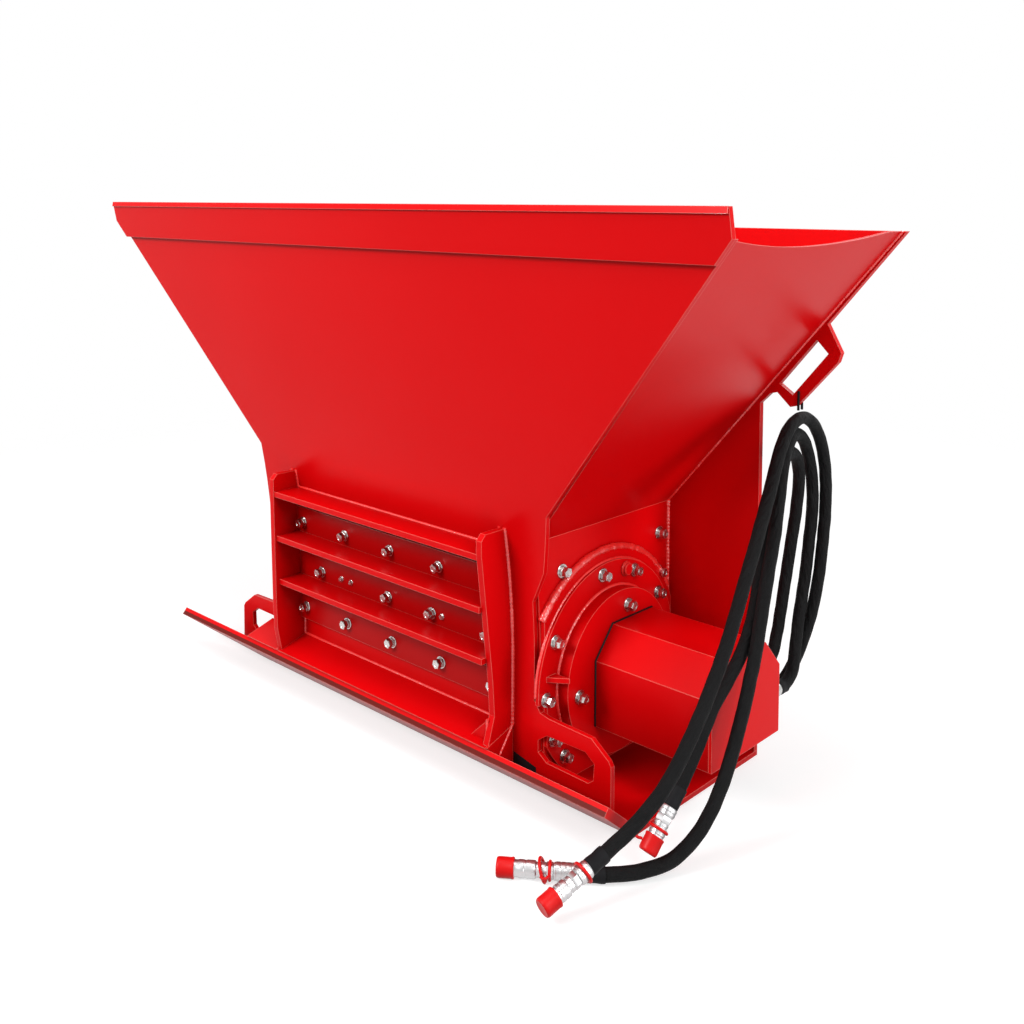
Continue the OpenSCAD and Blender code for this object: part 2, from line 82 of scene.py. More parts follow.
def plate_depth(z: float) -> float:
    """Depth of the front plate's front face at a height.

    Args:
        z: Height above the floor.

    Returns:
        The depth behind the front rim's datum.
    """
    if z <= BEND_LOW_Z:
        return FRONT_Y
    if z <= WAIST_Z:
        return FRONT_Y - BEND_R + math.sqrt(BEND_R**2 - (z - BEND_LOW_Z) ** 2)
    return FRONT_Y - BEND_R * (1 - math.cos(LEAN)) - (z - WAIST_Z) * math.tan(LEAN)


def round_axis(x: float, r: float, degrees: float) -> Vector:
    """A point round the rotor's axis, at an angle from straight up towards the back."""
    a = math.radians(degrees)
    return place(x, AXIS_Y + r * math.sin(a), AXIS_Z + r * math.cos(a))


class Slot(Enum):
    """The record's material slots."""

    PAINT = "red_paint"
    WEAR = "wear_steel"
    DARK = "dark_steel"
    BRIGHT = "bright_steel"
    ZINC = "zinc"
    SLEEVE = "hose_sleeve"
    CAP = "cap_plastic"


class Sock:
    """A shader socket that can be used in arithmetic."""

    def __init__(self, tree: "Tree", link: bpy.types.NodeSocket) -> None:
        """Keeps the tree and the output socket."""
        self.tree = tree
        self.link = link

    def _math(self, operation: str, a: "Sock | float", b: "Sock | float") -> "Sock":
        """Adds one Math node."""
        return self.tree.node("ShaderNodeMath", {"operation": operation}, {0: a, 1: b})

    def __add__(self, other: "Sock | float") -> "Sock":
        """This value plus another."""
        return self._math("ADD", self, other)

    def __radd__(self, other: float) -> "Sock":
        """A number plus this value."""
        return self._math("ADD", other, self)

    def __sub__(self, other: "Sock | float") -> "Sock":
        """This value less another."""
        return self._math("SUBTRACT", self, other)

    def __rsub__(self, other: float) -> "Sock":
        """A number less this value."""
        return self._math("SUBTRACT", other, self)

    def __mul__(self, other: "Sock | float") -> "Sock":
        """This value times another."""
        return self._math("MULTIPLY", self, other)

    def __rmul__(self, other: float) -> "Sock":
        """A number times this value."""
        return self._math("MULTIPLY", other, self)

    def over(self, level: float) -> "Sock":
        """1 where this value is above a level, else 0."""
        return self._math("GREATER_THAN", self, level)

    def sin(self) -> "Sock":
        """The sine of this value."""
        return self._math("SINE", self, 0.0)


class Tree:
    """A material's node tree, filled by short calls."""

    def __init__(self, name: str) -> None:
        """Makes an empty material.

        Args:
            name: The material's name.
        """
        self.material = bpy.data.materials.new(name)
        self.material.use_nodes = True
        self.tree = self.material.node_tree
        self.tree.nodes.clear()

    def node(self, kind: str, settings: dict, inputs: dict, out: int | str = 0) -> Sock:
        """Adds one node.

        Args:
            kind: The node's type.
            settings: Its settings.
            inputs: Values or sockets by input name or number.
            out: Which output to return.

        Returns:
            The chosen output.
        """
        made = self.tree.nodes.new(kind)
        for key, value in settings.items():
            setattr(made, key, value)
        for key, value in inputs.items():
            if isinstance(value, Sock):
                self.tree.links.new(value.link, made.inputs[key])
            else:
                made.inputs[key].default_value = value
        return Sock(self, made.outputs[out] if made.outputs else None)

    def noise(self, scale: float, detail: float, where: Sock | None = None) -> Sock:
        """A noise value over the object's own coordinates.

        Args:
            scale: Cells a metre.
            detail: Octaves.
            where: Other coordinates to read it at.

        Returns:
            The noise, from 0 to 1.
        """
        spot = where or self.node("ShaderNodeTexCoord", {}, {}, "Object")
        return self.node(
            "ShaderNodeTexNoise", {}, {"Vector": spot, "Scale": scale, "Detail": detail}
        )

    def mix(self, amount: Sock | float, a: Sequence[float] | Sock, b: Sequence[float] | Sock) -> Sock:
        """Mixes two colours."""
        return self.node(
            "ShaderNodeMix", {"data_type": "RGBA"}, {0: amount, 6: a, 7: b}, 2
        )

    def geometry(self, out: str) -> Sock:
        """The shaded point's place or one of its normals."""
        return self.node("ShaderNodeNewGeometry", {}, {}, out)

    def dot(self, a: Sock, b: Sock | tuple[float, ...]) -> Sock:
        """The dot product of two vectors."""
        return self.node("ShaderNodeVectorMath", {"operation": "DOT_PRODUCT"}, {0: a, 1: b}, "Value")

    def clamped(self, a: Sock, b: float) -> Sock:
        """A product kept between 0 and 1."""
        return self.node("ShaderNodeMath", {"operation": "MULTIPLY", "use_clamp": True}, {0: a, 1: b})

    def bump(self, height: Sock, strength: float, distance: float) -> Sock:
        """A normal from a height.

        Args:
            height: The height value.
            strength: How strongly it shows.
            distance: The height's size in metres.

        Returns:
            The normal.
        """
        return self.node(
            "ShaderNodeBump", {}, {"Strength": strength, "Distance": distance, "Height": height}
        )

    def shade(self, **inputs: Sock | float | Sequence[float]) -> bpy.types.Material:
        """Ends the material with one principled shader.

        Args:
            **inputs: Its inputs, with underscores for spaces.

        Returns:
            The finished material.
        """
        values = {key.replace("_", " "): value for key, value in inputs.items()}
        surface = self.node("ShaderNodeBsdfPrincipled", {}, values)
        self.node("ShaderNodeOutputMaterial", {}, {"Surface": surface})
        return self.material


@dataclass(frozen=True)
class GlossPaint:
    """Sprayed gloss enamel with a little orange peel."""

    name: str = "red gloss paint"
    fresh: tuple[float, ...] = (0.78, 0.0010, 0.0030, 1.0)
    deep: tuple[float, ...] = (0.70, 0.0008, 0.0022, 1.0)
    # Colour of the painted shade, used in recesses and low down.
    painted_shade: tuple[float, ...] = (0.30, 0.0004, 0.0006, 1.0)
    # Colour mixed in on rounded edges: painted highlight.
    rim: tuple[float, ...] = (1.0, 0.26, 0.20, 1.0)
    # A dark colour for the lip's sloped end face: painted shade.
    shaded_end_face: tuple[float, ...] | None = None
    unshaded_top: float = 0.0015
    # Heights between which the paint darkens towards the bottom: painted shade.
    painted_shade_below: tuple[float, float] | None = None
    painted_shade_reach: float = 0.08
    edge_r: float = 0.0018
    edge_gain: float = 11.0
    roughness: float = 0.36
    peel: float = 0.10

    def material(self) -> bpy.types.Material:
        """Builds the paint, with a painted highlight on rounded edges and painted shade in recesses."""
        tree = Tree(self.name)
        clouds = tree.noise(2.5, 3.0)
        specks = tree.noise(60.0, 2.0)
        lit = tree.mix(clouds * 0.8 + specks * 0.2, self.fresh, self.deep)
        # Ambient occlusion pulls the colour towards the painted shade in recesses.
        open_air = tree.node(
            "ShaderNodeAmbientOcclusion", {"samples": 6}, {"Distance": self.painted_shade_reach}, "AO"
        )
        body = tree.mix(open_air, self.painted_shade, lit)
        # Painted shade: the colour goes darker towards the bottom, between the two given heights.
        if self.painted_shade_below:
            low, high = self.painted_shade_below
            level = tree.node("ShaderNodeSeparateXYZ", {}, {0: tree.geometry("Position")}, "Z")
            rise = tree.clamped(level - low, 1.0 / (high - low))
            body = tree.mix(rise, self.painted_shade, body)
        # Below a thin strip at its top, the lip's end face takes the dark end-face colour: painted
        # shade.
        if self.shaded_end_face:
            faces = tree.dot(tree.geometry("True Normal"), LIP_OUT)
            level = tree.dot(tree.geometry("Position"), LIP_UP)
            upper = (level + LIP_UP[1] * (MID_Y - LIP_FOOT_Y)).over(self.unshaded_top)
            body = tree.mix(faces.over(0.97), body, tree.mix(upper, self.shaded_end_face, body))
        rounding = tree.node("ShaderNodeBevel", {"samples": 6}, {"Radius": self.edge_r}, "Normal")
        edge = tree.clamped(1.0 - tree.dot(rounding, tree.geometry("Normal")), self.edge_gain)
        grain = tree.noise(420.0, 1.0)
        normal = tree.node(
            "ShaderNodeBump",
            {},
            {"Strength": self.peel, "Distance": 0.0006, "Height": grain, "Normal": rounding},
        )
        # On rounded edges the base colour goes towards the rim colour: painted highlight.
        return tree.shade(
            Base_Color=tree.mix(edge * 0.55, body, self.rim),
            Roughness=clouds * 0.10 + (self.roughness - 0.05),
            Specular_IOR_Level=0.09,
            Coat_Weight=edge * 0.9 + 0.02,
            Coat_Roughness=0.18,
            Normal=normal,
        )


@dataclass(frozen=True)
class WeldPaint:
    """Enamel over a weld bead: glossier than the paint, with a pinker colour as painted highlight."""

    name: str = "enamel weld, painted highlight"
    # A pinker red than the paint: painted highlight.
    fresh: tuple[float, ...] = (0.98, 0.060, 0.050, 1.0)

    def material(self) -> bpy.types.Material:
        """Builds the paint on the beads."""
        tree = Tree(self.name)
        lumps = tree.noise(160.0, 3.0)
        # Noise mixes the pinker colour, a painted highlight, with plain red.
        colour = tree.mix(lumps, self.fresh, (0.72, 0.002, 0.004, 1.0))
        return tree.shade(
            Base_Color=colour,
            Roughness=0.24 + lumps * 0.12,
            Specular_IOR_Level=0.5,
            Coat_Weight=1.0,
            Coat_Roughness=0.16,
            Normal=tree.bump(lumps, 0.5, 0.0015),
        )


@dataclass(frozen=True)
class Metal:
    """A bare or plated metal."""

    name: str
    bright: tuple[float, ...]
    dull: tuple[float, ...]
    roughness: float
    grain: float = 90.0
    relief: float = 0.1

    def material(self) -> bpy.types.Material:
        """Builds the metal."""
        tree = Tree(self.name)
        stains = tree.noise(self.grain, 4.0)
        colour = tree.mix(stains, self.bright, self.dull)
        return tree.shade(
            Base_Color=colour,
            Metallic=1.0,
            Roughness=stains * 0.08 + (self.roughness - 0.04),
            Normal=tree.bump(tree.noise(self.grain * 6, 2.0), self.relief, 0.0004),
        )


@dataclass(frozen=True)
class WovenSleeve:
    """Black nylon sleeve: two sets of flat strands crossing over and under."""

    name: str = "woven sleeve"
    strands: float = 22.0
    pitch: float = 0.0042
    light: tuple[float, ...] = (0.0058, 0.0058, 0.0062, 1.0)
    dark: tuple[float, ...] = (0.0012, 0.0012, 0.0014, 1.0)

    def material(self) -> bpy.types.Material:
        """Builds the weave on the tube's own coordinates, round it and along it in metres."""
        tree = Tree(self.name)
        spot = tree.node("ShaderNodeTexCoord", {}, {}, "UV")
        across = tree.node("ShaderNodeSeparateXYZ", {}, {0: spot}, "X")
        along = tree.node("ShaderNodeSeparateXYZ", {}, {0: spot}, "Y")
        around = across * (math.tau * self.strands)
        rise = along * (math.tau / self.pitch)
        weave = (around + rise).sin() * (around - rise).sin() * 0.5 + 0.5
        worn = tree.noise(34.0, 3.0)
        turn = across * math.tau
        drift = along * 34.0 + turn.sin() * 0.6
        wrap = tree.node(
            "ShaderNodeCombineXYZ", {}, {0: turn.sin(), 1: (turn + math.pi / 2).sin(), 2: drift}
        )
        slack = tree.noise(1.5, 3.0, wrap)
        colour = tree.mix(weave * 0.5 + worn * 0.5, self.dark, self.light)
        return tree.shade(
            Base_Color=colour,
            Roughness=0.60 + worn * 0.25,
            Specular_IOR_Level=0.14,
            Normal=tree.bump(weave * 0.06 + slack * 0.94, 1.0, 0.0060),
        )


@dataclass(frozen=True)
class Moulded:
    """Moulded plastic or rubber."""

    name: str
    tone: tuple[float, ...]
    shade_tone: tuple[float, ...]
    roughness: float
    gloss: float

    def material(self) -> bpy.types.Material:
        """Builds the plastic."""
        tree = Tree(self.name)
        clouds = tree.noise(30.0, 2.0)
        return tree.shade(
            Base_Color=tree.mix(clouds, self.tone, self.shade_tone),
            Roughness=clouds * 0.15 + (self.roughness - 0.07),
            Specular_IOR_Level=self.gloss,
            Normal=tree.bump(tree.noise(900.0, 1.0), 0.08, 0.0003),
        )


class Finish(Enum):
    """Every finish on the machine, with the slot that it takes."""

    PAINT = (GlossPaint(), Slot.PAINT)
    BARS = (
        GlossPaint("red paint in shade", (0.50, 0.0006, 0.0016, 1.0), (0.44, 0.0005, 0.0012, 1.0)),
        Slot.PAINT,
    )
    # The lip's end face gets painted shade.
    LIP = (GlossPaint("red paint, painted shade on lip end", shaded_end_face=(0.15, 0.011, 0.007, 1.0)), Slot.PAINT)
    # The guard gets painted shade towards its bottom.
    GUARD = (
        # Its larger edge gain gives the folds a stronger painted highlight and coat.
        GlossPaint("red paint, folded guard", edge_gain=34.0, edge_r=0.0022, painted_shade_below=(0.075, 0.235)),
        Slot.PAINT,
    )
    WELD = (WeldPaint(), Slot.PAINT)
    ZINC = (Metal("zinc plate", (0.64, 0.63, 0.61, 1), (0.48, 0.48, 0.48, 1), 0.24, 60, 0.02), Slot.ZINC)
    CHROME = (
        Metal("coupler steel", (0.55, 0.55, 0.55, 1), (0.50, 0.50, 0.51, 1), 0.36, 12, 0.0),
        Slot.ZINC,
    )
    WEAR = (Metal("wear steel", (0.36, 0.34, 0.32, 1), (0.18, 0.16, 0.15, 1), 0.55, 25, 0.5), Slot.WEAR)
    BRIGHT = (Metal("turned steel", (0.68, 0.68, 0.70, 1), (0.45, 0.45, 0.46, 1), 0.30), Slot.BRIGHT)
    DARK = (
        Moulded("black enamel", (0.010, 0.010, 0.011, 1), (0.005, 0.005, 0.006, 1), 0.5, 0.15),
        Slot.DARK,
    )
    SLEEVE = (WovenSleeve(), Slot.SLEEVE)
    RUBBER = (
        Moulded("black rubber", (0.007, 0.007, 0.008, 1), (0.003, 0.003, 0.004, 1), 0.65, 0.14),
        Slot.SLEEVE,
    )
    CAP = (
        Moulded("red plastic", (0.70, 0.005, 0.005, 1), (0.60, 0.003, 0.004, 1), 0.42, 0.22),
        Slot.CAP,
    )


class Finishes:
    """Hands out each finish's material, built once."""

    made: dict[Finish, bpy.types.Material] = {}

    @classmethod
    def dress(cls, piece: bpy.types.Object, finish: Finish) -> None:
        """Gives a piece its material.

        Args:
            piece: The object to dress.
            finish: The finish it gets.
        """
        recipe, slot = finish.value
        if finish not in cls.made:
            cls.made[finish] = recipe.material()
        piece.data.materials.clear()
        piece.data.materials.append(cls.made[finish])


def standing(spot: Vector, out: Vector) -> Matrix:
    """The frame at a point that has its +Z along a direction."""
    return Matrix.Translation(spot) @ out.to_track_quat("Z", "Y").to_matrix().to_4x4()


@dataclass
class Shape:
    """A mesh put together from turned, extruded and swept bits."""

    points: list[Vector] = field(default_factory=list)
    faces: list[tuple[int, ...]] = field(default_factory=list)
    uvs: list[tuple[tuple[float, float], ...]] = field(default_factory=list)

    def _add(self, rings: list[list[Vector]], at: Matrix, run: list[float]) -> None:
        """Joins rings of points into a skin that is closed at both ends.

        Args:
            rings: Equal rings of points.
            at: Where the skin goes.
            run: Each ring's distance along the skin.
        """
        base, count = len(self.points), len(rings[0])
        self.points += [at @ p for ring in rings for p in ring]
        for i in range(len(rings) - 1):
            for k in range(count):
                low = base + i * count
                high = low + count
                after = (k + 1) % count
                self.faces.append((low + k, low + after, high + after, high + k))
                left, right = k / count, (k + 1) / count
                self.uvs.append(
                    ((left, run[i]), (right, run[i]), (right, run[i + 1]), (left, run[i + 1]))
                )
        last = base + (len(rings) - 1) * count
        self.faces.append(tuple(range(base + count - 1, base - 1, -1)))
        self.faces.append(tuple(range(last, last + count)))
        self.uvs += [tuple((0.0, 0.0) for _ in range(count))] * 2

    def turned(self, profile: Sequence[tuple[float, float]], at: Matrix, sides: int) -> None:
        """Adds a profile of radius and height turned about +Z."""
        rings = [
            [
                Vector((r * math.cos(math.tau * k / sides), r * math.sin(math.tau * k / sides), h))
                for k in range(sides)
            ]
            for r, h in profile
        ]
        self._add(rings, at, [h for _, h in profile])

    def hexagon(self, flats: float, low: float, high: float, at: Matrix) -> None:
        """Adds a hexagon with chamfered corners, from its width over flats and its two heights."""
        corner = flats / math.sqrt(3)
        trim = (high - low) * 0.16
        steps = ((0.93, low), (1.0, low + trim), (1.0, high - trim), (0.93, high))
        self.turned([(corner * k, h) for k, h in steps], at, 6)

    def slab(self, outline: Outline, low: float, high: float, at: Matrix) -> None:
        """Adds an outline in X and Y extruded along Z."""
        rings = [[Vector((x, y, h)) for x, y in outline] for h in (low, high)]
        self._add(rings, at, [low, high])

    def swept(
        self, route: Sequence[Vector], radius: Callable[[float, float], float], sides: int
    ) -> float:
        """Adds a tube along a route.

        Args:
            route: The centreline's points.
            radius: The radius at a distance along it and an angle round it.
            sides: Sides of the tube.

        Returns:
            The route's length.
        """
        rings, run, walked = [], [], 0.0
        side = None
        for i, spot in enumerate(route):
            ahead = (route[min(i + 1, len(route) - 1)] - route[max(i - 1, 0)]).normalized()
            guess = side or ahead.orthogonal()
            side = (guess - ahead * guess.dot(ahead)).normalized()
            other = ahead.cross(side)
            if i:
                walked += (spot - route[i - 1]).length
            ring = []
            for k in range(sides):
                a = math.tau * k / sides
                ring.append(spot + (side * math.cos(a) + other * math.sin(a)) * radius(walked, a))
            rings.append(ring)
            run.append(walked)
        self._add(rings, Matrix.Identity(4), run)
        return walked

    def made(self, name: str, finish: Finish, smooth: float) -> bpy.types.Object:
        """Turns the shape into a dressed object.

        Args:
            name: The object's name.
            finish: Its finish.
            smooth: Edges sharper than this many degrees stay sharp.

        Returns:
            The object, riding on the machine.
        """
        mesh = bpy.data.meshes.new(name)
        mesh.from_pydata([tuple(p) for p in self.points], [], self.faces)
        layer = mesh.uv_layers.new(name="UVMap")
        flat = [pair for face in self.uvs for pair in face]
        for loop, pair in zip(layer.data, flat):
            loop.uv = pair
        mesh.shade_smooth()
        mesh.set_sharp_from_angle(angle=math.radians(smooth))
        piece = bpy.data.objects.new(name, mesh)
        bpy.context.scene.collection.objects.link(piece)
        Finishes.dress(piece, finish)
        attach(piece, "root")
        log.info("%s: %d faces", name, len(self.faces))
        return piece


def rounded(corners: Sequence[Vector], steps: int) -> list[Vector]:
    """A smooth curve through points.

    Args:
        corners: The points that it goes through.
        steps: Points made for each stretch.

    Returns:
        The curve's points.
    """
    spots = [2 * corners[0] - corners[1], *corners, 2 * corners[-1] - corners[-2]]
    route = []
    for a, b, c, d in zip(spots, spots[1:], spots[2:], spots[3:]):
        for k in range(steps):
            t = k / steps
            route.append(
                0.5 * ((2 * b) + (c - a) * t + (2 * a - 5 * b + 4 * c - d) * t**2
                       + (3 * b - a - 3 * c + d) * t**3)
            )
    route.append(corners[-1].copy())
    return route


@dataclass
class Body:
    """The finishes of the parts that come from CAD, and the band's folded hem."""

    hem: float = 0.011
    hem_out: float = 0.002
    wear_nodes: tuple[str, ...] = ("anvil_bars", "rotor_teeth")
    dark_nodes: tuple[str, ...] = ("rotor_drum", "hydraulic_motor")
    bright_nodes: tuple[str, ...] = ("rotor_shaft",)

    def finish_of(self, node: str) -> Finish:
        """The finish a CAD node gets."""
        if node == "clamp_bars":
            return Finish.BARS
        if node == "base_lip":
            return Finish.LIP
        if node == "motor_guard":
            return Finish.GUARD
        if node in self.wear_nodes:
            return Finish.WEAR
        if node in self.dark_nodes:
            return Finish.DARK
        if node in self.bright_nodes:
            return Finish.BRIGHT
        if node.endswith("_hose") or node == "hose_tie":
            return Finish.RUBBER
        if node.endswith("_cap"):
            return Finish.CAP
        if node.startswith("bolts") or node.endswith("_coupler") or node == "motor_ports":
            return Finish.ZINC
        return Finish.PAINT

    def dress(self) -> None:
        """Paints every CAD node."""
        for name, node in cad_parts.items():
            Finishes.dress(node, self.finish_of(name))
        log.info("painted %d CAD nodes", len(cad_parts))

    def fold_hem(self) -> None:
        """Adds the hem along the band's top edge."""
        low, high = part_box("front_band")
        turn = Matrix(((0, 0, 1, 0), (1, 0, 0, 0), (0, 1, 0, 0), (0, 0, 0, 1)))
        outline = (
            (low.y + 0.0002, high.z + 0.0004), (low.y - self.hem_out, high.z - self.hem),
            (low.y + 0.0030, high.z - self.hem), (low.y + 0.0010, high.z + 0.0004),
        )
        shape = Shape()
        shape.slab(outline, low.x + 0.001, high.x - 0.001, turn)
        shape.made("band_hem", Finish.PAINT, 20.0)


@dataclass
class RibFeet:
    """The gusset at the right rib's foot, the plates that close the sill's ends and a black sheet of
    painted shadow at the plate's foot.
    """

    gusset: Outline = ((0.328, 0.141), (0.276, 0.092), (0.328, 0.092))
    gusset_at: float = 0.084
    gusset_t: float = 0.006
    end: Outline = ((0.068, 0.096), (0.1395, 0.119), (0.1395, 0.032), (0.078, 0.084))
    end_out: float = 0.016
    end_t: float = 0.005
    # A black sheet just in front of the plate's foot, standing for a slot's shadow: painted shadow.
    slot: Outline = ((0.345, 0.066), (0.345, 0.014), (0.403, 0.014), (0.403, 0.054))
    shadow_patch_out: float = 0.0008
    shadow_patch_t: float = 0.0006

    def facing(self, shape: Shape, outline: Outline, depth: float, thick: float) -> None:
        """Adds an outline in X and Z that faces forwards.

        Args:
            shape: The shape it joins.
            outline: Its corners.
            depth: Its front face's depth.
            thick: How thick it is.
        """
        turn = Matrix(((1, 0, 0, 0), (0, 0, -1, -MID_Y), (0, 1, 0, 0), (0, 0, 0, 1)))
        shape.slab(outline, -depth - thick, -depth, turn)

    def build(self) -> None:
        """Adds the gusset, the end plates and the black sheet of painted shadow."""
        plates = Shape()
        self.facing(plates, self.gusset, self.gusset_at, self.gusset_t)
        for x in (-RIB_X - self.end_out, RIB_X + self.end_out - self.end_t):
            turn = Matrix(((0, 0, 1, x), (1, 0, 0, -MID_Y), (0, 1, 0, 0), (0, 0, 0, 1)))
            plates.slab(self.end, 0.0, self.end_t, turn)
        plates.made("rib_foot_plates", Finish.PAINT, 20.0)
        # The black sheet is painted shadow.
        slot = Shape()
        self.facing(slot, self.slot, FRONT_Y - self.shadow_patch_out, self.shadow_patch_t)
        slot.made("foot_painted_shadow", Finish.DARK, 20.0)


@dataclass
class Welds:
    """Weld beads along the seams that show."""

    pitch: float = 0.0080
    step: float = 0.0025
    seed: int = 7
    shelf_tops: tuple[float, ...] = (0.469, 0.366, 0.264)
    sill_z: float = 0.118

    def bead_on(self, shape: Shape, corners: Sequence[Vector], bead: float) -> None:
        """Lays one bead.

        Args:
            shape: The shape it joins.
            corners: The seam's corners.
            bead: Its radius.
        """
        rng = random.Random(self.seed + len(shape.points))
        route = [corners[0]]
        for a, b in zip(corners, corners[1:]):
            count = max(2, int((b - a).length / self.step))
            route += [a.lerp(b, (k + 1) / count) for k in range(count)]
        wobble = [rng.uniform(-0.10, 0.10) for _ in range(len(route) + 2)]

        def radius(s: float, a: float) -> float:
            """The bead's radius at a distance along it."""
            ripple = 0.24 * abs(math.sin(math.pi * s / self.pitch))
            return bead * (0.78 + ripple + wobble[min(int(s / 0.012), len(wobble) - 1)])

        shape.swept(route, radius, 6)

    def front_seams(self, shape: Shape) -> None:
        """Beads along the shelves, the ribs, the sill and the plates at the right rib's foot."""
        for top in self.shelf_tops:
            depth = plate_depth(top)
            self.bead_on(shape, [place(-RIB_X, depth, top), place(RIB_X, depth, top)], 0.0038)
        for side in (-1, 1):
            for x, bead in ((side * RIB_X, 0.004), (side * (RIB_X + RIB_T), 0.0055)):
                levels = [self.sill_z + 0.0218 * k for k in range(19)]
                self.bead_on(shape, [place(x, plate_depth(z), z) for z in levels], bead)
        sill = [place(x, FRONT_Y, self.sill_z) for x in (-0.330, RIB_X)]
        self.bead_on(shape, sill, 0.0036)
        self.bead_on(shape, [place(RIB_X, 0.084, 0.096), place(RIB_X, 0.085, 0.142)], 0.0032)
        x = RIB_X + 0.015
        self.bead_on(shape, [place(x, 0.102, 0.070), place(x, 0.138, self.sill_z)], 0.0036)

    def side_seams(self, shape: Shape) -> None:
        """Beads up the end plates, along the creases and round the sloped walls."""
        for side in (-1, 1):
            x = side * BOX_X
            rim = side * HOPPER_X
            self.bead_on(shape, [place(x, REAR_Y, 0.012), place(x, REAR_Y, CREASE_Z)], 0.006)
            self.bead_on(shape, [place(x, REAR_Y, CREASE_Z), place(rim, REAR_Y, RIM_Z)], 0.0035)
            floor = [place(x, FRONT_Y + 0.06, 0.011), place(x, REAR_Y, 0.011)]
            self.bead_on(shape, floor, 0.006)

    def round_seam(
        self, shape: Shape, x: float, r: float, start: float, end: float, bead: float
    ) -> None:
        """A bead round the rotor's axis, between two angles from straight up towards the back."""
        count = 48
        turns = [start + (end - start) * k / count for k in range(count + 1)]
        self.bead_on(shape, [round_axis(x, r, turn) for turn in turns], bead)

    def build(self) -> None:
        """Lays all the beads."""
        shape = Shape()
        self.front_seams(shape)
        self.side_seams(shape)
        self.round_seam(shape, BOX_X + 0.004, 0.237, -54, 62, 0.0085)
        self.round_seam(shape, BOX_X + 0.018, 0.163, -125, 125, 0.0045)
        self.round_seam(shape, BOX_X + 0.010, 0.215, -90, 120, 0.0035)
        shape.made("weld_beads", Finish.WELD, 60.0)


@dataclass
class Bolt:
    """A plated bolt: flat washer, spring washer and a hexagon head with a dimpled face."""

    washer_r: float = 0.0128
    washer_t: float = 0.0026
    spring_t: float = 0.0026
    flats: float = 0.0180
    head_t: float = 0.0115

    def put(self, shape: Shape, spot: Vector, out: Vector, roll: float) -> None:
        """Adds the bolt.

        Args:
            shape: The shape it joins.
            spot: Where its washer sits.
            out: The direction it points.
            roll: How far the hexagon is turned, in degrees.
        """
        at = standing(spot, out) @ Matrix.Rotation(math.radians(roll), 4, "Z")
        rim, lift = self.washer_r, self.washer_t
        nut = lift + self.spring_t
        top = nut + self.head_t
        shape.turned(((rim, 0), (rim, lift * 0.75), (rim * 0.95, lift)), at, 28)
        if self.spring_t > 0:
            coil = self.flats * 0.58
            shape.turned(((coil * 0.96, lift), (coil, lift + 0.0006), (coil, nut)), at, 24)
        shape.hexagon(self.flats, nut, top, at)
        face = self.flats * 0.45
        lip = top + 0.0006
        shape.turned(
            ((face, top), (face * 0.96, lip), (face * 0.62, lip), (face * 0.54, top + 0.0001)), at, 28
        )


@dataclass
class FrontBolts:
    """Three rows of bolts through the bolted bars, with a few small studs."""

    pitch: float = 0.1524
    bar_t: float = 0.012
    top_z: float = 0.392
    mid_z: float = 0.286
    low_z: float = 0.190
    mid_x: tuple[float, ...] = (-0.244, -0.013, 0.125, 0.288)
    stud_x: tuple[float, ...] = (-0.174, -0.140, 0.155)
    bolt: Bolt = field(default_factory=Bolt)

    def out_of_plate(self, x: float, z: float) -> tuple[Vector, Vector]:
        """A place on the bars' faces and the direction out of them."""
        rise = max(0.0, z - BEND_LOW_Z)
        lean = math.asin(rise / BEND_R)
        out = Vector((0, -math.cos(lean), -math.sin(lean)))
        return place(x, plate_depth(z), z) + out * (self.bar_t + 0.0001), out

    def build(self) -> None:
        """Adds the bolts and the studs."""
        rng = random.Random(3)
        shape = Shape()
        spots = [(i * self.pitch, z) for z in (self.top_z, self.low_z) for i in range(-2, 3)]
        spots += [(x, self.mid_z) for x in self.mid_x]
        for x, z in spots:
            self.bolt.put(shape, *self.out_of_plate(x, z), rng.uniform(0, 60))
        piece = shape.made("front_bolts", Finish.ZINC, 30.0)
        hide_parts("bolts_front")
        small = Bolt(0.0065, 0.0010, 0.0, 0.0090, 0.0040)
        studs = Shape()
        for x in self.stud_x:
            small.put(studs, *self.out_of_plate(x, self.mid_z), rng.uniform(0, 60))
        studs.made("front_studs", Finish.ZINC, 30.0)


